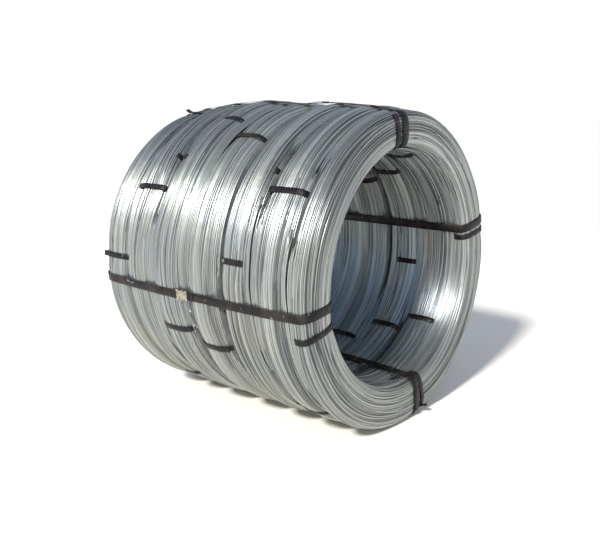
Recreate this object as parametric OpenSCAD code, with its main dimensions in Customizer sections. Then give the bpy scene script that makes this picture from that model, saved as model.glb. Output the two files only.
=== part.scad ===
// Bundle of seven coils of galvanised wire, lying on its side on a level floor.
// Each coil is held by its own flat steel ties, and four package straps hold the seven together.
// X runs along the bundle from its far end to its near end, Z is up, and the floor is z = 0.
// Lists run from the far coil to the near one. An angle is about X: 0 is +Y, and 90 is up.

/* [Coils] */
// Width of each coil along the bundle
coil_w = [108, 79, 112, 110, 92, 94, 46]; // [30:1:140]
// Outside diameter of each coil
coil_od = [722, 734, 740, 732, 734, 728, 718]; // [680:1:860]
// Bore, the same for every coil because they come off one former
coil_id = 518; // [420:1:600]
// Squareness of each coil's section, where 2 is an ellipse and more is boxier
section_power = [2.6, 3.2, 3.6, 3.6, 3.2, 3.2, 2.6]; // [2:0.1:4]
// Diameter of the wire
wire_d = 4; // [3:0.1:6]
// Depth of the groove between one turn and the next
groove_depth = 0.9; // [0.3:0.1:1.4]

/* [Ties] */
// Width of the flat band that ties a coil
tie_w = 13; // [8:0.5:16]
// Thickness of a tie
tie_t = 0.6; // [0.4:0.1:1]
// Free space between a tie and what it lies against
tie_clear = 0.25; // [0.15:0.05:0.5]
// Length over which a tie's two ends lap on the outside of the coil
tie_lap = 34; // [16:1:40]
// Angles of the ties of each coil
tie_angles = [
    [104, 177, 262, 350],
    [65, 150.5, 235, 330],
    [32, 116, 138, 202, 292],
    [40, 125, 206.5, 300],
    [48.5, 139.5, 172.5, 312.5, 351.5],
    [70, 146.5, 235, 321],
    [99, 194, 284.5, 10.5]
];

/* [Package straps] */
// Width of a package strap
strap_w = 19; // [13:1:32]
// Thickness of a package strap
strap_t = 0.8; // [0.5:0.1:1.2]
// Free space between a package strap and the coils
strap_clear = 0.3; // [0.2:0.05:0.6]
// Length over which a package strap's two ends lap at its seal
strap_lap = 70; // [40:1:80]
// Angles of the front, top, back and bottom straps
strap_angle = [186.5, 94.5, 14, 280]; // [0:1:359]

/* [Seals] */
// Length of a crimped seal along its strap
seal_l = 33; // [20:1:36]
// Thickness of the seal's sheet
seal_t = 0.9; // [0.6:0.1:1.2]
// Free space between a seal and the strap ends inside it
seal_clear = 0.2; // [0.1:0.05:0.4]
// Distance from each seal's middle to the seam that it bridges
seal_shift = [2, 0, 0, 0]; // [-20:1:20]

/* [Hidden] */
COILS = len(coil_w);
STRAPS = ["front", "top", "back", "bottom"];
// The seam between two coils that each seal bridges, counted from the far end
SEAL_SEAM = [3, 4, 2, 3];
OUTLINE_POINTS = 72;
RING_SEGMENTS = 120;

// Two coils stand apart by one tie and its clearances
coil_gap = tie_t + 2 * tie_clear;
bundle_l = sum(coil_w, COILS) + (COILS - 1) * coil_gap;
// Height of the bundle's own axis, between those of its largest and smallest coils
axis_z = (max(coil_od) + min(coil_od)) / 4;

function coil_name(k) = str("coil_", k + 1);
function tie_name(k, i) = str("coil_", k + 1, "_tie_", i + 1);

// Sum of the first n entries of a list
function sum(list, n) = n == 0 ? 0 : list[n - 1] + sum(list, n - 1);

// Where coil k lies: its middle along X, its radius, its build and the height of its axis
function coil_x(k) = -bundle_l / 2 + sum(coil_w, k) + k * coil_gap + coil_w[k] / 2;
function coil_r(k) = coil_od[k] / 2;
function coil_build(k) = (coil_od[k] - coil_id) / 2;
function seam_x(k) = coil_x(k - 1) + (coil_w[k - 1] + coil_gap) / 2;

// Power that keeps the sign of its base
function signed_pow(base, power) = sign(base) * pow(abs(base), power);

// Point of a coil's rounded section at angle a, as [along the axis, away from the middle]
function section_point(k, a) = [
    coil_w[k] / 2 * signed_pow(cos(a), 2 / section_power[k]),
    coil_build(k) / 2 * signed_pow(sin(a), 2 / section_power[k])
];
function section(k) = [for (i = [0:OUTLINE_POINTS - 1]) section_point(k, 360 * i / OUTLINE_POINTS)];

// Distance along a closed outline to each of its points, ending with its whole length
function run_lengths(p) = [
    for (i = 0, s = 0; i <= len(p); s = s + norm(p[(i + 1) % len(p)] - p[i % len(p)]), i = i + 1) s
];

// The turned section: one ridge and one groove for each turn that shows, at even steps of length
function turned_section(k) =
    let (
        p = section(k),
        s = run_lengths(p),
        turns = floor(s[len(p)] / wire_d),
        along = [for (i = [0:len(p)]) [s[i], p[i % len(p)][0]]],
        away = [for (i = [0:len(p)]) [s[i], p[i % len(p)][1]]]
    )
    [
        for (i = [0:2 * turns - 1])
        let (
            at = s[len(p)] * i / (2 * turns),
            q = [lookup(at, along), lookup(at, away)],
            depth = i % 2 == 0 ? 0 : groove_depth
        )
        q * (1 - depth / norm(q))
    ];

// A convex outline moved outward by d along its normals
function outward(p, d) = [
    for (i = [0:len(p) - 1])
    let (
        before = p[(i + len(p) - 1) % len(p)],
        after = p[(i + 1) % len(p)],
        run = (after - before) / norm(after - before)
    )
    p[i] + d * [run[1], -run[0]]
];

// The sections of all the coils where a strap at the given angle crosses them.
// The bore curves in towards a strap's edges, more so where a coil's own axis is to one side.
function sections_at(angle) = [
    for (k = [0:COILS - 1])
    let (
        lift = coil_r(k) - axis_z,
        aside = abs(lift * cos(angle)) + strap_w / 2
    )
    for (p = section(k))
    let (r = coil_r(k) - coil_build(k) / 2 + p[1])
    [coil_x(k) + p[0], lift * sin(angle) + (p[1] < 0 ? sqrt(r * r - aside * aside) : r)]
];

// Left-hand turn of point c as seen along the line from a to b
function turn(a, b, c) = (b[0] - a[0]) * (c[1] - a[1]) - (b[1] - a[1]) * (c[0] - a[0]);

// The point that leaves all the others on the left of the line from a
function next_on_wrap(points, a, best, i = 0) =
    i == len(points) ? best :
    next_on_wrap(
        points, a,
        points[i] != a && (best == a || turn(a, best, points[i]) < 0) ? points[i] : best,
        i + 1
    );

// A taut loop round a set of points, anticlockwise from its far end
function taut_loop(points) =
    let (far = points[search(min([for (p = points) p[0]]), [for (p = points) p[0]])[0]])
    [for (a = far, done = false; !done; b = next_on_wrap(points, a, a), done = b == far, a = b) a];

// Height of a loop's outer run at x
function outer_run(loop, x) = max([
    for (i = [0:len(loop) - 1])
    let (a = loop[i], b = loop[(i + 1) % len(loop)])
    if ((a[0] - x) * (b[0] - x) <= 0 && a[0] != b[0])
    a[1] + (b[1] - a[1]) * (x - a[0]) / (b[0] - a[0])
]);

// A band of thickness t round a convex outline, with clear space under it
module band(outline, clear, t) {
    difference() {
        polygon(outward(outline, clear + t));
        polygon(outward(outline, clear));
    }
}

module coil(k) {
    color("lightsteelblue")
    translate([coil_x(k), 0, coil_r(k)])
    rotate([0, 90, 0])
    rotate_extrude($fn = RING_SEGMENTS)
    polygon([for (p = turned_section(k)) [coil_r(k) - coil_build(k) / 2 + p[1], p[0]]]);
}

module tie(k, i) {
    middle = coil_r(k) - coil_build(k) / 2;
    color("dimgray")
    translate([coil_x(k), 0, coil_r(k)])
    rotate([tie_angles[k][i], 0, 0])
    linear_extrude(height = tie_w, center = true)
    translate([0, middle]) {
        band(section(k), tie_clear, tie_t);
        intersection() {
            band(section(k), tie_clear + tie_t, tie_t);
            translate([-tie_lap / 2, 0]) square([tie_lap, coil_r(k)]);
        }
    }
}

module package_strap(i) {
    loop = taut_loop(sections_at(strap_angle[i]));
    x = seam_x(SEAL_SEAM[i]) + seal_shift[i];
    color("#2b2a2c")
    translate([0, 0, axis_z])
    rotate([strap_angle[i], 0, 0])
    linear_extrude(height = strap_w, center = true) {
        band(loop, strap_clear, strap_t);
        intersection() {
            band(loop, strap_clear + strap_t, strap_t);
            translate([x - strap_lap / 2, axis_z - coil_build(0) / 2]) square([strap_lap, coil_build(0)]);
        }
    }
}

module seal(i) {
    loop = taut_loop(sections_at(strap_angle[i]));
    x = seam_x(SEAL_SEAM[i]) + seal_shift[i];
    height = outer_run(loop, x) + strap_clear + strap_t;
    slope = atan2(outer_run(loop, x + seal_l / 2) - outer_run(loop, x - seal_l / 2), seal_l);
    hole_h = 2 * strap_t + 2 * seal_clear;
    hole_w = strap_w + 2 * seal_clear;
    color("tan")
    translate([0, 0, axis_z])
    rotate([strap_angle[i], 0, 0])
    translate([x, height, 0])
    rotate([0, 0, slope])
    difference() {
        cube([seal_l, hole_h + 2 * seal_t, hole_w + 2 * seal_t], center = true);
        cube([seal_l + 2, hole_h, hole_w], center = true);
    }
}

for (k = [0:COILS - 1]) {
    coil(k);
    for (i = [0:len(tie_angles[k]) - 1])
        tie(k, i);
}
for (i = [0:len(STRAPS) - 1]) {
    package_strap(i);
    seal(i);
}
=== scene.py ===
"""Looks of a strapped bundle of seven coils of galvanised wire that lies on its side.

Lengths are in metres. X runs along the bundle from its far end to its near end, Z is up, and the floor
is z = 0. A ring angle is about X: 0 is +Y, and 90 degrees is up. A section angle goes round a coil's
section: 0 is its near side, 90 its outside, 180 its far side and 270 its bore. Seam n is the one between
coils n and n + 1, and coil 1 is the far one.
"""
import math

import bpy
import numpy as np
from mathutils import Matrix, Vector


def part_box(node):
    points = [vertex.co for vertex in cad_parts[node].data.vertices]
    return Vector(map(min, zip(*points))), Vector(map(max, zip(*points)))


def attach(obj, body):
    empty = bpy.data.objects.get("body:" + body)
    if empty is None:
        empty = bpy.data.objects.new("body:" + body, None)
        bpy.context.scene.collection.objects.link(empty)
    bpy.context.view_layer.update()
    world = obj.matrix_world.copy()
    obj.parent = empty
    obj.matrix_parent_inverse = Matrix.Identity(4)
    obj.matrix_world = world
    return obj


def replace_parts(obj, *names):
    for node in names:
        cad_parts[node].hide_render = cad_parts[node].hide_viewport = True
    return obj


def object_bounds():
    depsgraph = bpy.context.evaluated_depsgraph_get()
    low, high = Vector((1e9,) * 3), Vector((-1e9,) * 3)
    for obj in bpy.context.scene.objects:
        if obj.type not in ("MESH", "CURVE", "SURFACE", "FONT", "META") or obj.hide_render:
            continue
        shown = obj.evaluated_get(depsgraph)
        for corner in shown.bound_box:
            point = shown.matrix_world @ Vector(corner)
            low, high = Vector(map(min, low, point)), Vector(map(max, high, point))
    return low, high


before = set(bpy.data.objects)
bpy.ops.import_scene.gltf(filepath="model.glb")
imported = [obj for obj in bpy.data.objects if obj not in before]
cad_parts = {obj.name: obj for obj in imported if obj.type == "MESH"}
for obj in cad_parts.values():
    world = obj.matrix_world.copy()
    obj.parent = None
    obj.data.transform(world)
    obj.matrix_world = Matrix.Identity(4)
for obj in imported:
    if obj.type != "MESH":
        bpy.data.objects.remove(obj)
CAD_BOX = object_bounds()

BODY = "root"
MM = 0.001
STRAPS = ("front", "top", "back", "bottom")

# Coils, from the far one to the near one
TIES = (4, 4, 5, 4, 5, 4, 4)
COILS = len(TIES)
OUTSIDE, BORE = 90.0, 270.0   # section angles
# Squareness of the sections, where 2 is an ellipse and more is boxier
FLAT_POWER = 5.4       # outside, where the coils are pressed flat
FLAT_AT, FLAT_SPAN = 161, 24   # that stretch's ring angle and half its width
ROUND_POWER = 3.0      # outside, elsewhere
BORE_POWER = 3.6
END_POWER = 2.7        # the bundle's two ends are round
OUTLINE_POINTS = 720
# How much of the near coil's build is missing at its top, about which ring angle, over how many degrees
NEAR_THIN, NEAR_THIN_AT, NEAR_THIN_SPAN = 0.2, 92, 42

# Wires
WIRE_D = 4.0 * MM
WIRE_SIDES = 5
PITCH = 3.05 * MM      # the outer turns nest, so they show closer together than they are thick
STEPS = 79             # stations round the ring for each turn
GROOVE = 2.6 * MM      # depth of the gaps between bunches of turns
STRAYS = 30            # wires of each coil that cross over the others
STRAY_SWEEP = (55, 170)   # shortest and longest stretch of the ring that one runs over
STRAY_CROSS = (6, 26)     # least and most that it moves along the outline, in mm
NEST = 1.4 * MM        # how far each flank is moved towards the next coil's
CORE_DEPTH = 3.1 * MM  # how deep the core lies under the coil's outline
CORE_REACH = 1.0 * MM  # how far its flank passes that outline beside a neighbour
CORE_COLUMNS, CORE_ROWS = 60, 84
# The cut ends that show: coil, ring angle, section angle, length, lift and sideways lean in mm
WIRE_ENDS = (
    (5, 2, 262, 46, 9, 20), (6, 25, 285, 42, 12, 12), (3, 100, 120, 38, 8, -10), (2, 330, 250, 45, 10, 5),
)

# Seams
SEAM_SWAYS = ((3.0 * MM, 7), (1.2 * MM, 17))   # how far each one wanders along X, and in how many steps
SEAM_BENDS = {2: ((-22 * MM, 82, 34), (13 * MM, 151, 13))}   # wider bends: (how far, ring angle, span)
OPEN_SEAMS = {2: (10.0 * MM, 110, 36), 4: (8.0 * MM, 155, 52)}   # (how wide, ring angle, span)
# Bridged valleys: the seam, from and to which ring angle, and on which side
SEAM_WIRES = (
    (1, 75, 222, "outside"), (1, -60, 75, "outside"), (2, 162, 210, "outside"), (3, -50, 199, "outside"),
    (5, 85, 129, "outside"), (5, 151, 208, "outside"), (6, 60, 136, "outside"), (6, 159, 216, "outside"),
    (1, 0, 340, "bore"), (2, 20, 200, "bore"), (3, -70, 100, "bore"), (4, 120, 330, "bore"),
    (5, -40, 60, "bore"), (6, -82, 268, "bore"),
)
# The sheet of wires over a valley: its two edges in mm from the seam, and how many wires it has
BRIDGE_FAR, BRIDGE_NEAR, BRIDGE_WIRES = -18, 19, 14
# Outside, past this seam, a sheet's wires within so many mm of the seam are left out, and a gap shows
PART_SEAM, PART_HALF = 4, 2
VALLEY = 9.0           # how deep the sheet lies, in mm
VALLEY_PRESSED = 5.0   # how much less where the coils are pressed flat
VALLEY_BEND = 0.012    # how much deeper towards its edges, for each mm squared
BORE_PRESSED = 0.3     # flatness that the bore's valleys are taken to have
DIVE = 4.0 * MM        # how far its ends go down between the turns

# Painted shade: blue painted into the bore's zinc, where it lies in cool shade: how much in each coil, about
# which ring angle, over how many degrees
SHADE_BLUE = (1.0, 1.0, 1.0, 1.0, 0.8, 0.15, 0.0)
SHADE_BLUE_AT, SHADE_BLUE_SPAN = -38, 52

# Ties and straps
TIE_W, TIE_T = 13.0 * MM, 0.6 * MM
STRAP_W, STRAP_T = 19.0 * MM, 0.8 * MM
STRAP_LAP = 68 * MM    # length over which a strap's two ends lap
STRAP_SINK = 0.6 * MM  # how far a strap beds into the wires
PINCH = 3.0 * MM       # how far a tie draws the wires in
PINCH_ANGLE = 5.5      # degrees over which the wires come back out
STRAP_PINCH = 0.5      # how much of a tie's pinch a strap makes
# How proud of the pinch a tie lies, and how much deeper where the wires have closed over it, both as
# shares of the wire's diameter
TIE_PROUD, TIE_SUNK = 0.14, 1.5
# Stretches of section angle where the wires have closed over a tie, by coil and tie
SUNK = {
    (7, 1): (66, 186), (3, 2): (92, 178), (3, 3): (-40, 95),
    (5, 2): (47, 190), (5, 3): (25, 72), (5, 5): (205, 262),
}
SUNK_EDGE = 6          # degrees over which they close
# Where a tie's end stands free, by coil and tie: section angle, length in mm, lift in degrees, which way
FREE_ENDS = {
    (1, 2): (128, 10, 88, 1), (2, 2): (118, 18, 14, 1), (3, 2): (98, 12, 14, -1), (3, 3): (152, 17, 80, -1),
    (4, 2): (116, 15, 25, 1), (5, 2): (48, 15, 60, 1), (5, 1): (222, 26, 58, -1), (6, 1): (318, 26, 66, 1),
    (1, 1): (100, 20, 50, 1), (7, 1): (70, 14, 20, 1), (6, 2): (110, 16, 10, 1), (2, 3): (120, 24, 42, 1),
    (6, 3): (115, 26, 46, 1), (7, 3): (60, 18, 40, -1), (4, 3): (75, 14, 12, -1), (3, 4): (70, 14, 15, -1),
    (1, 3): (120, 26, 40, 1), (5, 3): (100, 12, 8, 1), (7, 4): (60, 16, 14, 1), (3, 5): (90, 16, 18, 1),
}
FREE_LAP = 20 * MM     # how far a free end lies on its tie before it bends off

# Seals
SEAL_L = 33.0 * MM
SEAL_SIDE = 1.6 * MM   # how far a seal reaches past each edge of its strap
SEAL_HEIGHT = 3.0 * MM
SEAL_SHEET = 0.9 * MM
SEAL_RIM = 1.3 * MM    # how high the folded edges stand
NOTCH = 3.4 * MM       # how deep the crimp notches are
NOTCHES = (-0.45, 0.45)   # where they are, from -1 to 1 along the seal
SEAL_STEPS = 34

# Seeds
SEAM_SEED, COIL_SEED, SEAL_SEED = 900, 17, 70

# The camera looks at a point from a side, in degrees from -Y towards +X, a height in degrees and a distance
CAMERA_AT = (0, 0.0035, 0.310)
CAMERA_SIDE, CAMERA_HEIGHT, CAMERA_DISTANCE = 40.9, 12.2, 1.958
CAMERA_LENS = 46.7
# The key light: the direction it comes from, its strength and its spread in degrees
KEY_FROM, KEY_STRENGTH, KEY_SPREAD = (0.16, -0.79, 0.585), 5.1, 7
KEY_AWAY = 4           # how far off it stands, which a sun lamp's light does not depend on
SKY_STRENGTH = 1.07
FLOOR_HALF = 60.0


# ---------------------------------------------------------------- helpers

def drift(rng, rows, cols, row_at, col_at):
    """Smooth random field from -1 to 1 on a grid that wraps both ways, read between its rows and columns."""
    grid = rng.uniform(-1, 1, (rows, cols))
    r0, c0 = np.floor(row_at).astype(int), np.floor(col_at).astype(int)
    fr, fc = row_at - r0, col_at - c0
    fr, fc = fr * fr * (3 - 2 * fr), fc * fc * (3 - 2 * fc)
    near = grid[r0 % rows, c0 % cols] * (1 - fc) + grid[r0 % rows, (c0 + 1) % cols] * fc
    far = grid[(r0 + 1) % rows, c0 % cols] * (1 - fc) + grid[(r0 + 1) % rows, (c0 + 1) % cols] * fc
    return near * (1 - fr) + far * fr


def unit(v):
    """Rows of v at length 1."""
    return v / np.maximum(np.linalg.norm(v, axis=-1, keepdims=True), 1e-12)


def apart(a, b):
    """Distance between angles in degrees, up to 180."""
    return np.abs((a - b + 180) % 360 - 180)


def grid_faces(rings, sides, closed):
    """Quads between rings of `sides` points; closed joins the last ring to the first."""
    count = rings if closed else rings - 1
    i = np.repeat(np.arange(count), sides)
    j = np.tile(np.arange(sides), count)
    n, m = (i + 1) % rings, (j + 1) % sides
    return np.stack([i * sides + j, i * sides + m, n * sides + m, n * sides + j], axis=1)


def tube(centre, out, profile):
    """Points, faces and end caps of a bar swept along centre; profile gives (sideways, outward) offsets."""
    sides = len(profile)
    along = unit(np.gradient(centre, axis=0))
    side = unit(np.cross(along, out))
    up = np.cross(side, along)
    ring = np.stack([centre + side * a + up * b for a, b in profile], axis=1)
    caps = [list(range(sides)), [len(centre) * sides - 1 - i for i in range(sides)]]
    return ring.reshape(-1, 3), grid_faces(len(centre), sides, False), caps


class Shape:
    """Gathers points, faces, tones, painted blue shade and material numbers for one mesh."""

    def __init__(self):
        self.points, self.faces, self.tones, self.cools, self.picks, self.count = [], [], [], [], [], 0

    def add(self, points, quads, caps=(), tone=0.5, cool=0.0, pick=0):
        self.points.append(points)
        self.faces += [tuple(q) for q in (quads + self.count).tolist()]
        self.faces += [tuple(i + self.count for i in cap) for cap in caps]
        self.tones.append(np.broadcast_to(tone, len(points)))
        self.cools.append(np.broadcast_to(cool, len(points)))
        self.picks += [pick] * (len(quads) + len(caps))
        self.count += len(points)

    def build(self, name, slot, materials):
        """The mesh object, riding on the part's one body."""
        mesh = bpy.data.meshes.new(name)
        mesh.from_pydata(np.concatenate(self.points).tolist(), [], self.faces)
        for material in materials:
            mesh.materials.append(material)
        mesh.polygons.foreach_set("material_index", self.picks)
        for key, values in (("tone", self.tones), ("cool", self.cools)):
            mesh.attributes.new(key, "FLOAT", "POINT").data.foreach_set("value", np.concatenate(values))
        mesh.polygons.foreach_set("use_smooth", [True] * len(mesh.polygons))
        mesh.update()
        piece = bpy.data.objects.new(name, mesh)
        bpy.context.scene.collection.objects.link(piece)
        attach(piece, BODY)
        return piece


# ---------------------------------------------------------------- coils

def seam_drift(seam, angle):
    """How far a seam wanders along X at a ring angle; the bundle's two ends stay put."""
    if seam in (0, COILS):
        return np.zeros_like(angle)
    rng = np.random.default_rng(SEAM_SEED + seam)
    lap = np.asarray(angle) / (2 * np.pi) % 1.0
    shift = sum(reach * drift(rng, 1, steps, 0 * lap, steps * lap) for reach, steps in SEAM_SWAYS)
    for reach, at, span in SEAM_BENDS.get(seam, ()):
        shift = shift + reach * np.exp(-(apart(np.degrees(angle), at) / span) ** 2)
    return shift


def flatness(angle):
    """1 where the coils are pressed flat, 0 elsewhere, by ring angle in radians."""
    return np.exp(-(apart(np.degrees(angle), FLAT_AT) / FLAT_SPAN) ** 4)


def opening(seam, angle):
    """How far a seam stands open along X at a ring angle."""
    if seam not in OPEN_SEAMS:
        return np.zeros_like(angle)
    width, at, span = OPEN_SEAMS[seam]
    return width * np.exp(-(apart(np.degrees(angle), at) / span) ** 4)


class Coil:
    """Where one coil lies and how its section is drawn in at its ties, from the CAD frame."""

    def __init__(self, number):
        self.number = number
        self.node = f"coil_{number}"
        lo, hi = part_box(self.node)
        self.width = hi.x - lo.x
        self.radius = (hi.z - lo.z) / 2
        self.x = (lo.x + hi.x) / 2
        self.z = (lo.z + hi.z) / 2
        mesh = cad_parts[self.node].data
        flat = np.empty(len(mesh.vertices) * 3)
        mesh.vertices.foreach_get("co", flat)
        self.bore = float(np.hypot(flat[1::3], flat[2::3] - self.z).min())
        self.build = self.radius - self.bore
        self.mean = (self.radius + self.bore) / 2
        self.ties = [self.angle_of(f"{self.node}_tie_{i + 1}") for i in range(TIES[number - 1])]
        self.straps = [self.angle_of(f"strap_{name}") for name in STRAPS]
        self.rng = np.random.default_rng(number * COIL_SEED)

    def angle_of(self, node):
        """Ring angle of the middle of a CAD node, in degrees."""
        lo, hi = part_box(node)
        return math.degrees(math.atan2((lo.z + hi.z) / 2 - self.z, (lo.y + hi.y) / 2))

    def sunk(self, i, section):
        """1 where the wires have closed over tie i, 0 where it shows, by section angle in degrees."""
        if (self.number, i + 1) not in SUNK:
            return np.zeros_like(section)
        lo, hi = SUNK[self.number, i + 1]
        inside = (hi - lo) / 2 - apart(section, (lo + hi) / 2)
        return np.clip(inside / SUNK_EDGE + 0.5, 0, 1)

    def pinch(self, angle, section):
        """How far the bands draw the wires in, 0 to 1, at ring angles in radians and section angles."""
        ring = np.degrees(angle)
        total = np.zeros_like(angle)
        for i, tie in enumerate(self.ties):
            draw = np.exp(-(apart(ring, tie) / PINCH_ANGLE) ** 2) * (1 - self.sunk(i, section))
            total = np.maximum(total, draw)
        for strap in self.straps:
            draw = STRAP_PINCH * np.exp(-(apart(ring, strap) / PINCH_ANGLE) ** 2)
            total = np.maximum(total, draw)
        return total

    def outline(self, inset, power):
        """The section's closed outline, moved in, with a given squareness outside.

        It is (length so far, points, outward normals, section angles, quarter turns). The last runs from 0
        to 4, evenly with the length inside each quarter.
        """
        a = np.linspace(0, 2 * np.pi, OUTLINE_POINTS + 1)
        half = np.array([self.width / 2 - inset, self.build / 2 - inset])
        c, s = np.cos(a), np.sin(a)
        first, last = self.number == 1, self.number == COILS
        quarters = [
            END_POWER if last else power, END_POWER if first else power,
            END_POWER if first else BORE_POWER, END_POWER if last else BORE_POWER,
        ]
        power = 2 / np.array(quarters)[(a // (np.pi / 2)).astype(int) % 4]
        p = half * np.stack([np.sign(c) * np.abs(c) ** power, np.sign(s) * np.abs(s) ** power], axis=1)
        run = np.concatenate([[0], np.cumsum(np.linalg.norm(np.diff(p, axis=0), axis=1))])
        way = unit(np.gradient(p, axis=0))
        corners = run[:: OUTLINE_POINTS // 4]
        quarter = np.interp(run, corners, np.arange(5))
        return run, p, np.stack([way[:, 1], -way[:, 0]], axis=1), np.degrees(a), quarter

    def length(self, inset):
        """Length of the outline that places are read along."""
        return self.outline(inset, FLAT_POWER)[0][-1]

    def read(self, at, angle, inset):
        """Section points, normals and section angles at lengths along the outline and at ring angles."""
        flat, soft = self.outline(inset, FLAT_POWER), self.outline(inset, ROUND_POWER)
        quarter = np.interp(at % flat[0][-1], flat[0], flat[4])
        blend = flatness(angle)[..., None]

        def look_up(outline, k):
            return np.stack([np.interp(quarter, outline[4], outline[k][:, i]) for i in (0, 1)], axis=-1)

        points, normals = [look_up(flat, k) * blend + look_up(soft, k) * (1 - blend) for k in (1, 2)]
        return points, unit(normals), np.interp(quarter, flat[4], flat[3])

    def ring(self, away, angle):
        """Ring radius of a section point; the near coil is thinner at its top."""
        thin = 0.0
        if self.number == COILS:
            thin = NEAR_THIN * np.exp(-(apart(np.degrees(angle), NEAR_THIN_AT) / NEAR_THIN_SPAN) ** 2)
        return self.radius - (self.build / 2 - away) * (1 - thin)

    def place(self, flat, angle):
        """Section points at ring angles, as 3-D points; the seams on both sides wander."""
        part = np.clip(flat[..., 0] / self.width + 0.5, 0, 1)
        before, after = self.number - 1, self.number
        far = seam_drift(before, angle) + opening(before, angle) / 2 - NEST * (before > 0)
        near = seam_drift(after, angle) - opening(after, angle) / 2 + NEST * (after < COILS)
        shift = far * (1 - part) + near * part
        x = self.x + flat[..., 0] + shift
        r = self.ring(flat[..., 1], angle)
        return np.stack([x, r * np.cos(angle), self.z + r * np.sin(angle)], axis=-1)

    def turned(self, flat, angle):
        """Section directions at ring angles, as 3-D directions."""
        return np.stack([flat[..., 0], flat[..., 1] * np.cos(angle), flat[..., 1] * np.sin(angle)], axis=-1)


def round_wire():
    """Profile of the wire, as (sideways, outward) offsets."""
    turn = 2 * np.pi * np.arange(WIRE_SIDES) / WIRE_SIDES
    return [(WIRE_D / 2 * math.sin(t), WIRE_D / 2 * math.cos(t)) for t in turn]


def bore_shade_blue(coil, section, angle):
    """How much painted blue shade a coil's zinc takes at section and ring angles, 0 to 1."""
    inside = np.clip((75 - apart(section, BORE)) / 30, 0, 1)
    about = np.clip(1.3 - apart(np.degrees(angle), SHADE_BLUE_AT) / SHADE_BLUE_SPAN, 0.05, 1)
    return SHADE_BLUE[coil.number - 1] * inside * about


def add_spiral(shape, coil):
    """The coil's outer wire, wound as one long spiral in bunches that wander."""
    rng = coil.rng
    length = coil.length(WIRE_D / 2)
    turns = int(length / PITCH)
    u = np.arange(turns * STEPS + 1) / STEPS
    lap = u % 1.0
    angle = 2 * np.pi * lap
    own = np.floor(u) + np.clip((lap - 0.9) / 0.1, 0, 1)   # a turn's own row, led into the next at its end

    def by_turn(steps):
        """A random field with a row for each turn and so many steps round the ring."""
        return drift(rng, turns, steps, own, steps * lap)

    def by_group(size, steps):
        """The same with a row for each group of so many turns."""
        rows = turns // size
        return drift(rng, rows, steps, u * rows / turns, steps * lap)

    def by_place(rows, steps):
        """The same with so many rows along the outline, read where each turn lies on it."""
        return drift(rng, rows, steps, rows * (at % length) / length, steps * lap)

    # Where each turn runs along the outline: shifts in pitches
    bunch = by_group(4, 5)
    wander = by_turn(7)
    sweep = by_group(9, 3)
    at = length * u / turns + PITCH * (0.8 * bunch + 0.5 * wander + 1.4 * sweep)
    flat, normal, section = coil.read(at, angle, WIRE_D / 2)
    # How deep it lies: by itself, in hollows, under the bands, and in the gaps between bunches
    level = 0.5 - 0.5 * by_turn(5)
    swell = 0.5 - 0.5 * by_place(9, 8)
    depth = WIRE_D * (0.20 * level + 0.35 * swell) + PINCH * coil.pinch(angle, section)
    split = by_group(6, 3) + 0.25 * wander
    gap = np.clip(1 - np.abs(split) / 0.10, 0, 1) * np.clip(0.2 + 1.2 * swell, 0, 1)
    depth = depth + GROOVE * gap
    flat = flat - normal * depth[:, None]
    # How bright it is: tones differ most near the top, and deeper turns, most of all in the gaps between
    # bunches, are painted darker as shade
    streak = by_turn(3)
    fleck = by_turn(29)
    broad = by_place(7, 5)
    clump = by_group(3, 4)
    top = 0.14 * np.clip(1.2 - apart(np.degrees(angle), 95) / 45, 0, 1)
    tone = 0.60 + (0.38 + top) * streak + (0.22 + top) * clump
    tone = tone + 0.16 * fleck + 0.08 * broad - 0.14 * level - 0.50 * gap
    tone = np.clip(tone, 0, 1)
    points, quads, caps = tube(coil.place(flat, angle), coil.turned(normal, angle), round_wire())
    # Painted shade: the bore's zinc takes a blue tint
    blue = bore_shade_blue(coil, section, angle) * (0.75 + 0.25 * broad)
    shape.add(points, quads, caps, tone=np.repeat(tone, WIRE_SIDES), cool=np.repeat(blue, WIRE_SIDES))


def add_strays(shape, coil):
    """Wires that rise out of the winding, cross over some turns at a shallow angle and dive back in."""
    rng = coil.rng
    length = coil.length(WIRE_D / 2)
    for _ in range(STRAYS):
        start, sweep = rng.uniform(0, 2 * np.pi), np.radians(rng.uniform(*STRAY_SWEEP))
        count = int(np.degrees(sweep) / 3)
        t = np.linspace(0, 1, count)
        angle = start + sweep * t
        at = rng.uniform(0, length) + rng.choice([-1, 1]) * rng.uniform(*STRAY_CROSS) * MM * t
        flat, normal, section = coil.read(at, angle, WIRE_D / 2)
        draw = coil.pinch(angle, section)
        rise = np.clip(np.minimum(t, 1 - t) / 0.22, 0, 1)
        depth = WIRE_D * (1.7 - 1.6 * rise) + (PINCH + WIRE_D * 0.5) * draw
        flat = flat - normal * depth[:, None]
        points, quads, caps = tube(coil.place(flat, angle), coil.turned(normal, angle), round_wire())
        shape.add(points, quads, caps, tone=rng.uniform(0.5, 0.95))


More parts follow.
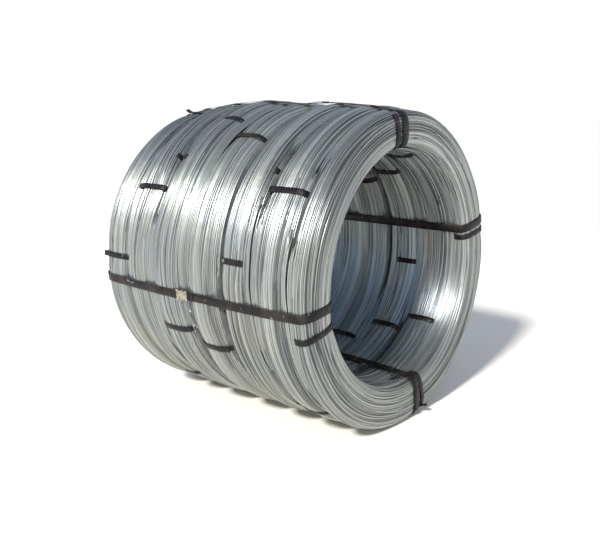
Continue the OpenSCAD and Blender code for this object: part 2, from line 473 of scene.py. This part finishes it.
def add_seam_wires(shape, coil):
    """A sheet of turns that bridges the valley beside the next coil, over stretches of the ring."""
    rng = coil.rng
    for seam, start, end, side in SEAM_WIRES:
        if seam != coil.number:
            continue
        outside = side == "outside"
        up, section = (1, OUTSIDE) if outside else (-1, BORE)
        sway = rng.integers(1000)
        for across in np.linspace(BRIDGE_FAR, BRIDGE_NEAR, BRIDGE_WIRES):
            if seam > PART_SEAM and outside and abs(across) < PART_HALF:
                continue
            ring = np.linspace(start + rng.uniform(-6, 6), end + rng.uniform(-6, 6), int((end - start) / 4))
            t = np.linspace(0, 1, len(ring))
            column = 0 * t
            angle = np.radians(ring)
            pressed = flatness(angle) if outside else BORE_PRESSED + 0 * t
            # The wires of one sheet sway together, and each a little by itself
            common = drift(np.random.default_rng(sway), 1, 11, column, ring / 360 * 11)
            spread = across * (0.6 + 0.4 * pressed) + 2.0 * common + 0.6 * drift(rng, 1, 5, column, 5 * t)
            along_x = coil.width / 2 + spread * MM
            sink = VALLEY - VALLEY_PRESSED * pressed + VALLEY_BEND * across ** 2
            sink = (sink + 0.5 * drift(rng, 1, 6, column, 6 * t)) * MM
            ends = np.clip(1 - np.minimum(t, 1 - t) / 0.12, 0, 1)
            sink = sink + DIVE * ends ** 2
            sink = sink + PINCH * coil.pinch(angle, np.full(len(t), section))
            flat = np.stack([along_x, up * (coil.build / 2 - sink)], axis=-1)
            normal = np.stack([0 * t, up + 0 * t], axis=-1)
            points, quads, caps = tube(coil.place(flat, angle), coil.turned(normal, angle), round_wire())
            # Painted shade: in the bore the sheet takes the bore's blue tint
            cool = 0 * t if outside else bore_shade_blue(coil, BORE, angle)
            # Painted shade: the ends are darker where they dive down between the turns
            tone = np.repeat(rng.uniform(0.4, 0.8) * (1 - 0.45 * ends), WIRE_SIDES)
            shape.add(points, quads, caps, tone=tone, cool=np.repeat(cool, WIRE_SIDES))


def add_core(shape, coil):
    """A closed core for the turns beneath, seen only in the gaps."""
    columns, rows = CORE_COLUMNS, CORE_ROWS
    at = np.repeat(np.arange(columns) / columns * coil.length(CORE_DEPTH), rows)
    angle = np.tile(2 * np.pi * np.arange(rows) / rows, columns)
    flat, normal, section = coil.read(at, angle, CORE_DEPTH)
    # Beside a neighbour the core's flank reaches past the seam, so that no light falls through it
    side = np.sign(flat[:, 0])
    inner = np.where(side > 0, coil.number < COILS, coil.number > 1)
    flank = np.clip(4 - 5 * np.abs(flat[:, 1]) / (coil.build / 2), 0, 1) * inner
    flat = flat - normal * (PINCH * coil.pinch(angle, section) * (1 - flank))[:, None]
    flat[:, 0] += side * flank * (CORE_DEPTH + CORE_REACH)
    quads = grid_faces(columns, rows, True)[:, [0, 3, 2, 1]]   # the other way round, to face outward
    shape.add(coil.place(flat, angle), quads, tone=0.3, pick=1)


def add_wire_end(shape, coil, ring, section_at, reach, lift, lean):
    """A cut end of the coil's wire that springs away from the winding."""
    outline = coil.outline(WIRE_D / 2, FLAT_POWER)
    t = np.linspace(0, 1, 14)
    angle = np.radians(ring) + t * reach * MM / coil.mean
    at = np.interp(section_at, outline[3], outline[0]) + lean * MM * t
    flat, normal, _ = coil.read(at, angle, WIRE_D / 2)
    flat = flat + normal * (-WIRE_D * 0.5 + (lift * MM + WIRE_D * 0.5) * t ** 1.6)[:, None]
    points, quads, caps = tube(coil.place(flat, angle), coil.turned(normal, angle), round_wire())
    shape.add(points, quads, caps, tone=0.9)


def make_coil(coil, materials):
    """One coil: its outer turns as round wire over a closed core."""
    shape = Shape()
    add_spiral(shape, coil)
    add_strays(shape, coil)
    add_seam_wires(shape, coil)
    add_core(shape, coil)
    for number, *end in WIRE_ENDS:
        if number == coil.number:
            add_wire_end(shape, coil, *end)
    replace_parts(shape.build(f"wire_{coil.node}", "zinc_wire", materials), coil.node)


# ---------------------------------------------------------------- bands

def flat_bar(width, thick):
    """Profile of a flat band that lies on its path, with broken edges."""
    edge = thick * 0.45
    return [
        (-width / 2 + edge, 0), (-width / 2, thick / 2), (-width / 2 + edge, thick), (0, thick * 1.15),
        (width / 2 - edge, thick), (width / 2, thick / 2), (width / 2 - edge, 0), (0, thick * 0.1),
    ]


def add_loop(shape, centre, out, width, thick):
    """A closed band whose underside follows the points given; out is the way its face looks."""
    along = unit(np.roll(centre, -1, axis=0) - np.roll(centre, 1, axis=0))
    side = unit(np.cross(along, out))
    up = np.cross(side, along)
    profile = flat_bar(width, thick)
    ring = np.stack([centre + side * a + up * b for a, b in profile], axis=1)
    shape.add(ring.reshape(-1, 3), grid_faces(len(centre), len(profile), True))


def add_free_end(shape, centre, out, length, lift, width, thick):
    """The band's outer end: it lies on the loop for a way, then bends off it by an angle in degrees."""
    lap_steps, bend_steps = 16, 8
    run = np.concatenate([[0], np.cumsum(np.linalg.norm(np.diff(centre, axis=0), axis=1))])
    lap = np.linspace(0, run[-1], lap_steps)
    base = np.stack([np.interp(lap, run, centre[:, i]) for i in range(3)], axis=1)
    up = unit(np.stack([np.interp(lap, run, out[:, i]) for i in range(3)], axis=1))
    base = base + up * thick * 1.2
    along, up_end = unit(base[-1] - base[-2]), up[-1]
    bend = np.linspace(0, math.radians(lift), bend_steps + 1)[1:]
    step = length / bend_steps
    tip, tips, ups = base[-1], [], []
    for b in bend:
        tip = tip + (along * math.cos(b) + up_end * math.sin(b)) * step
        tips.append(tip)
        ups.append(up_end * math.cos(b) - along * math.sin(b))
    profile = flat_bar(width * 0.98, thick)
    points, quads, caps = tube(np.concatenate([base, tips]), np.concatenate([up, ups]), profile)
    shape.add(points, quads, caps)


def make_tie(coil, i, material):
    """A flat band drawn tight round a coil's section, with its outer end bent off it."""
    angle = math.radians(coil.ties[i])
    outline = coil.outline(0, FLAT_POWER)
    count = 90
    shape = Shape()

    def path(at):
        flat, normal, section = coil.read(at, np.full(len(at), angle), 0)
        depth = PINCH - WIRE_D * TIE_PROUD + WIRE_D * TIE_SUNK * coil.sunk(i, section)
        ring = np.full(len(flat), angle)
        return coil.place(flat - normal * depth[:, None], ring), coil.turned(normal, ring)

    add_loop(shape, *path(np.arange(count) / count * outline[0][-1]), TIE_W, TIE_T)
    if (coil.number, i + 1) in FREE_ENDS:
        section, length, lift, way = FREE_ENDS[coil.number, i + 1]
        middle = np.interp(section % 360, outline[3], outline[0])
        lap = path(middle + way * np.linspace(-FREE_LAP, 0, 12))
        add_free_end(shape, *lap, length * MM, lift, TIE_W, TIE_T)
    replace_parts(shape.build(f"band_{coil.node}_{i + 1}", "black_tie", [material]), f"{coil.node}_tie_{i + 1}")


def convex_loop(points):
    """Convex hull of 2-D points, anticlockwise."""
    points = sorted(set(map(tuple, points)))

    def half(seq):
        chain = []
        for p in seq:
            while len(chain) > 1 and (
                (chain[-1][0] - chain[-2][0]) * (p[1] - chain[-2][1])
                - (chain[-1][1] - chain[-2][1]) * (p[0] - chain[-2][0])
            ) <= 0:
                chain.pop()
            chain.append(p)
        return chain[:-1]

    return np.array(half(points) + half(points[::-1]))


class Strap:
    """The path of a package strap round the whole bundle's wall, in the strap's own plane."""

    def __init__(self, name, coils):
        self.name = name
        lo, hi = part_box(f"strap_{name}")
        self.z = (CAD_BOX[0].z + CAD_BOX[1].z) / 2
        self.angle = math.atan2((lo.z + hi.z) / 2 - self.z, (lo.y + hi.y) / 2)
        spots = []
        for coil in coils:
            lift = (coil.z - self.z) * math.sin(self.angle)
            aside = abs((coil.z - self.z) * math.cos(self.angle)) + STRAP_W / 2
            around = 120
            at = np.arange(around) / around * coil.length(STRAP_SINK)
            for x, a in coil.read(at, np.full(around, self.angle), STRAP_SINK)[0]:
                r = float(coil.ring(a, self.angle))
                if a < 0:
                    r = math.sqrt(r * r - aside * aside)
                spots.append((round(coil.x + x, 6), round(r + lift, 6)))
        loop = convex_loop(spots)
        ends = np.concatenate([loop, loop[:1]])
        run = np.concatenate([[0], np.cumsum(np.linalg.norm(np.diff(ends, axis=0), axis=1))])
        count = int(run[-1] / (6 * MM))
        at = np.arange(count) / count * run[-1]
        self.path = np.stack([np.interp(at, run, ends[:, i]) for i in (0, 1)], axis=1)
        self.settle(coils)

    def settle(self, coils):
        """Lets the outer run down onto the crowns of the coils that stand lower than their neighbours."""
        outer = np.flatnonzero(self.path[:, 1] > self.path[:, 1].mean())
        outer = outer[np.abs(self.path[outer, 0]) < coils[-1].x]
        x = self.path[outer, 0]
        crowns, tops = [coil.x for coil in coils], []
        height = np.full(len(x), -1.0)
        for coil in coils:
            steps = 60
            at = np.arange(steps + 1) / steps * coil.length(0) / 2
            flat, _, _ = coil.read(at, np.full(steps + 1, self.angle), STRAP_SINK)
            top = coil.ring(flat[:, 1], self.angle) + (coil.z - self.z) * math.sin(self.angle)
            tops.append(top.max())
            height = np.maximum(height, np.interp(x, coil.x + flat[::-1, 0], top[::-1], left=-1, right=-1))
        height = np.maximum(height, np.interp(x, crowns, tops))
        height = np.convolve(np.pad(height, 3, "edge"), np.full(7, 1 / 7), "valid")
        self.path[outer, 1] = np.minimum(self.path[outer, 1], height)

    def place(self, p):
        """Points of the strap's plane (along X, away from the axis), as 3-D points."""
        return self.turned(p) + np.array([0, 0, self.z])

    def turned(self, v):
        """Directions in the strap's plane, as 3-D directions."""
        c, s = math.cos(self.angle), math.sin(self.angle)
        return np.stack([v[..., 0], v[..., 1] * c, v[..., 1] * s], axis=-1)

    def outer(self, x):
        """The point of the strap's outer run at x, in its plane."""
        wall = self.path[self.path[:, 1] > self.path[:, 1].mean()]
        wall = wall[np.argsort(wall[:, 0])]
        return np.array([x, np.interp(x, wall[:, 0], wall[:, 1])])


def make_strap(strap, material):
    """A package strap: a closed loop, with its upper end lapped over the lower one."""
    p = strap.path
    way = unit(np.roll(p, -1, axis=0) - np.roll(p, 1, axis=0))
    normal = np.stack([way[:, 1], -way[:, 0]], axis=1)
    shape = Shape()
    add_loop(shape, strap.place(p), strap.turned(normal), STRAP_W, STRAP_T)
    # The upper end sticks out past the seal
    lo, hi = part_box(f"seal_{strap.name}")
    middle, half = (lo.x + hi.x) / 2, STRAP_LAP / 2
    ends = np.array([strap.outer(x) for x in np.linspace(middle - half, middle + half, 12)])
    run = unit(ends[-1] - ends[0])
    up = np.array([-run[1], run[0]])
    points, quads, caps = tube(
        strap.place(ends + up * STRAP_T * 1.25), strap.turned(np.broadcast_to(up, ends.shape)),
        flat_bar(STRAP_W, STRAP_T),
    )
    shape.add(points, quads, caps)
    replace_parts(shape.build(f"band_{strap.name}", "black_strap", [material]), f"strap_{strap.name}")


def make_seal(strap, material):
    """A sheet sleeve folded round both strap ends, with two crimp notches in each edge."""
    lo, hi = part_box(f"seal_{strap.name}")
    middle, half = (lo.x + hi.x) / 2, SEAL_L / 2
    a, b = strap.outer(middle - half), strap.outer(middle + half)
    run = unit(b - a)
    up = np.array([-run[1], run[0]])
    along = strap.turned(run)
    out = strap.turned(up)
    side = np.cross(along, out)
    base = strap.place((a + b) / 2)
    rng = np.random.default_rng(SEAL_SEED + STRAPS.index(strap.name))
    t = np.linspace(-1, 1, SEAL_STEPS)
    notches = sum(np.exp(-((t - at) / 0.13) ** 2) for at in NOTCHES)
    rows = []
    for v, n in zip(t, notches):
        w = STRAP_W / 2 + SEAL_SIDE - NOTCH * n + rng.uniform(-0.25, 0.25) * MM
        rim = SEAL_RIM * (1 - n) + rng.uniform(-0.15, 0.15) * MM
        top = SEAL_HEIGHT + 0.3 * MM * n
        profile = [
            (-w * 0.55, top), (-w * 0.9, top + rim * 0.4), (-w, top + rim), (-w - 1.1 * MM, top + rim * 0.7),
            (-w - SEAL_SHEET, 1.2 * MM), (-w * 0.9, 0.05 * MM), (-w * 0.5, 0.02 * MM),
            (w * 0.5, 0.02 * MM), (w * 0.9, 0.05 * MM), (w + SEAL_SHEET, 1.2 * MM),
            (w + 1.1 * MM, top + rim * 0.7), (w, top + rim), (w * 0.9, top + rim * 0.4), (w * 0.55, top),
        ]
        rows.append([base + along * half * v + side * p + out * q for p, q in profile])
    sides = len(rows[0])
    points = np.array(rows).reshape(-1, 3)
    shape = Shape()
    caps = [list(range(sides)), [len(points) - 1 - i for i in range(sides)]]
    shape.add(points, grid_faces(SEAL_STEPS, sides, False), caps)
    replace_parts(shape.build(f"crimp_{strap.name}", "seal_steel", [material]), f"seal_{strap.name}")


# ---------------------------------------------------------------- materials

def new_material(name):
    """A material with its node tree and its shader."""
    material = bpy.data.materials.new(name)
    material.use_nodes = True
    return material, material.node_tree, material.node_tree.nodes["Principled BSDF"]


def ramp(tree, source, stops):
    """A colour ramp fed by a socket; stops are (place, grey or colour)."""
    node = tree.nodes.new("ShaderNodeValToRGB")
    tree.links.new(source, node.inputs["Fac"])
    elements = node.color_ramp.elements
    while len(elements) < len(stops):
        elements.new(0.5)
    for element, (place, value) in zip(elements, stops):
        element.position = place
        colour = value if isinstance(value, tuple) else (value,) * 3
        element.color = (*colour, 1)
    return node.outputs["Color"]


def noise(tree, scale, detail=3.0):
    """A noise field over the object's own coordinates."""
    node = tree.nodes.new("ShaderNodeTexNoise")
    node.inputs["Scale"].default_value = scale
    node.inputs["Detail"].default_value = detail
    node.inputs["Roughness"].default_value = 0.5
    coords = tree.nodes.new("ShaderNodeTexCoord").outputs["Object"]
    tree.links.new(coords, node.inputs["Vector"])
    return node.outputs["Fac"]


def mix_colour(tree, factor, a, b, mode="MIX"):
    """Two colours mixed; the factor and each colour is a value or a socket."""
    node = tree.nodes.new("ShaderNodeMix")
    node.data_type = "RGBA"
    node.blend_type = mode
    for socket, value in ((node.inputs["Factor"], factor), (node.inputs["A"], a), (node.inputs["B"], b)):
        if isinstance(value, bpy.types.NodeSocket):
            tree.links.new(value, socket)
        else:
            socket.default_value = value
    return node.outputs["Result"]


def zinc_material():
    """Bright galvanised wire: each turn has a tone of its own, with cooler and warmer patches, and painted blue
    shade in the bore.
    """
    material, tree, shader = new_material("zinc_wire")
    shader.inputs["Metallic"].default_value = 0.85
    tone = tree.nodes.new("ShaderNodeAttribute")
    tone.attribute_name = "tone"
    base = ramp(tree, tone.outputs["Fac"], [
        (0.0, (0.10, 0.105, 0.105)), (0.3, (0.23, 0.24, 0.235)), (0.6, (0.355, 0.365, 0.35)),
        (1.0, (0.52, 0.53, 0.51)),
    ])
    patches = ramp(tree, noise(tree, 7.0), [(0.38, (0.93, 0.97, 1.0)), (0.62, (0.99, 1.0, 0.95))])
    base = mix_colour(tree, 1.0, base, patches, "MULTIPLY")
    cool = tree.nodes.new("ShaderNodeAttribute")
    cool.attribute_name = "cool"
    # Painted shade: the bore's zinc is tinted blue
    shade_blued = mix_colour(tree, 1.0, base, (0.76, 0.98, 1.28, 1), "MULTIPLY")
    tree.links.new(mix_colour(tree, cool.outputs["Fac"], base, shade_blued), shader.inputs["Base Color"])
    tree.links.new(ramp(tree, noise(tree, 40.0), [(0.3, 0.31), (0.7, 0.38)]), shader.inputs["Roughness"])
    return material


def core_material():
    """The turns under the outer ones, seen only in the gaps, painted darker than the outer wire as shade in
    those gaps.
    """
    material, tree, shader = new_material("zinc_core")
    shader.inputs["Metallic"].default_value = 0.6
    shaded_speck = ramp(tree, noise(tree, 40.0), [(0.3, (0.08, 0.085, 0.09)), (0.7, (0.16, 0.165, 0.165))])
    tree.links.new(shaded_speck, shader.inputs["Base Color"])
    shader.inputs["Roughness"].default_value = 0.6
    return material


def band_material(name, dark, light, worn_and_sheen):
    """Black lacquered steel band: dusty patches, and small light marks that are partly rubbed to bare metal and
    partly painted sheen.
    """
    material, tree, shader = new_material(name)
    shader.inputs["Specular IOR Level"].default_value = 0.25
    shader.inputs["Metallic"].default_value = 0.15
    dusty = ramp(tree, noise(tree, 38.0, 5.0), [(0.42, dark), (0.66, light)])
    # Worn marks and painted sheen: light grey spots on the black
    rubbed_and_sheen = ramp(tree, noise(tree, 60.0, 2.0), [(0.66, 0.0), (0.76, 0.8)])
    tree.links.new(mix_colour(tree, rubbed_and_sheen, dusty, (*worn_and_sheen, 1)), shader.inputs["Base Color"])
    tree.links.new(ramp(tree, noise(tree, 120.0), [(0.3, 0.38), (0.7, 0.58)]), shader.inputs["Roughness"])
    return material


def seal_material():
    """Dull tan-coated sheet with dark specks."""
    material, tree, shader = new_material("seal_sheet")
    shader.inputs["Metallic"].default_value = 0.25
    coat = ramp(tree, noise(tree, 160.0, 4.0), [(0.38, (0.14, 0.115, 0.09)), (0.55, (0.33, 0.29, 0.23))])
    tree.links.new(coat, shader.inputs["Base Color"])
    tree.links.new(ramp(tree, noise(tree, 90.0), [(0.3, 0.45), (0.7, 0.65)]), shader.inputs["Roughness"])
    return material


def floor_material():
    """Pale floor with a painted pool of light: paler near the bundle, cooler and a little darker away from it.
    """
    material, tree, shader = new_material("floor")
    pale = ramp(tree, noise(tree, 0.7), [(0.3, (0.92, 0.88, 0.80)), (0.7, (0.93, 0.89, 0.81))])
    ball = tree.nodes.new("ShaderNodeTexGradient")
    ball.gradient_type = "SPHERICAL"
    place = tree.nodes.new("ShaderNodeMapping")
    place.inputs["Scale"].default_value = (0.3, 0.3, 0.3)
    tree.links.new(tree.nodes.new("ShaderNodeTexCoord").outputs["Object"], place.inputs["Vector"])
    tree.links.new(place.outputs["Vector"], ball.inputs["Vector"])
    # Painted pool of light: full pale near the bundle, cooler and darker further out
    light_pool = ramp(tree, ball.outputs["Fac"], [(0.0, (0.79, 0.81, 0.87)), (0.6, 1.0)])
    tree.links.new(mix_colour(tree, 1.0, pale, light_pool, "MULTIPLY"), shader.inputs["Base Color"])
    shader.inputs["Roughness"].default_value = 0.9
    return material


# ---------------------------------------------------------------- stage

def make_stage():
    """The floor and the light of the sky."""
    half = FLOOR_HALF
    corners = [(-half, -half, 0), (half, -half, 0), (half, half, 0), (-half, half, 0)]
    mesh = bpy.data.meshes.new("floor")
    mesh.from_pydata(corners, [], [(0, 1, 2, 3)])
    mesh.materials.append(floor_material())
    floor = bpy.data.objects.new("floor", mesh)
    bpy.context.scene.collection.objects.link(floor)

    # Pure white near the horizon, cooler and dimmer overhead
    world = bpy.data.worlds.new("studio")
    bpy.context.scene.world = world
    world.use_nodes = True
    tree = world.node_tree
    height = tree.nodes.new("ShaderNodeSeparateXYZ")
    tree.links.new(tree.nodes.new("ShaderNodeTexCoord").outputs["Generated"], height.inputs["Vector"])
    sky = ramp(tree, height.outputs["Z"], [
        (0.0, (1.0, 1.0, 1.0)), (0.15, (1.0, 1.0, 1.0)),
        (0.42, (0.45, 0.505, 0.61)), (1.0, (0.235, 0.27, 0.37)),
    ])
    tree.links.new(sky, tree.nodes["Background"].inputs["Color"])
    tree.nodes["Background"].inputs["Strength"].default_value = SKY_STRENGTH


def make_key():
    """The broad, distant key light."""
    lamp = bpy.data.lights.new("key", "SUN")
    lamp.angle = math.radians(KEY_SPREAD)
    lamp.energy = KEY_STRENGTH
    lamp.color = (1.0, 0.99, 0.975)
    light = bpy.data.objects.new("key", lamp)
    light.location = Vector(KEY_FROM) * KEY_AWAY
    light.rotation_mode = "QUATERNION"
    light.rotation_quaternion = (-Vector(KEY_FROM)).to_track_quat("-Z", "Y")
    bpy.context.scene.collection.objects.link(light)


def make_camera():
    """The camera on the photo's side."""
    side, height = math.radians(CAMERA_SIDE), math.radians(CAMERA_HEIGHT)
    back = Vector((math.sin(side) * math.cos(height), -math.cos(side) * math.cos(height), math.sin(height)))
    data = bpy.data.cameras.new("camera")
    data.lens = CAMERA_LENS
    data.clip_end = 200
    camera = bpy.data.objects.new("camera", data)
    camera.location = Vector(CAMERA_AT) + back * CAMERA_DISTANCE
    camera.rotation_mode = "QUATERNION"
    camera.rotation_quaternion = (-back).to_track_quat("-Z", "Y")
    bpy.context.scene.collection.objects.link(camera)
    bpy.context.scene.camera = camera


# ---------------------------------------------------------------- build

make_camera()
make_stage()
make_key()
bpy.context.scene.view_settings.view_transform = "Standard"

coil_materials = [zinc_material(), core_material()]
tie_black = band_material("tie_black", (0.006, 0.006, 0.007), (0.020, 0.018, 0.019), (0.20, 0.20, 0.19))
strap_black = band_material("strap_black", (0.008, 0.007, 0.007), (0.028, 0.023, 0.021), (0.22, 0.20, 0.19))
seal_tan = seal_material()
coils = [Coil(number + 1) for number in range(COILS)]
for coil in coils:
    make_coil(coil, coil_materials)
    for i in range(len(coil.ties)):
        make_tie(coil, i, tie_black)
for name in STRAPS:
    strap = Strap(name, coils)
    make_strap(strap, strap_black)
    make_seal(strap, seal_tan)
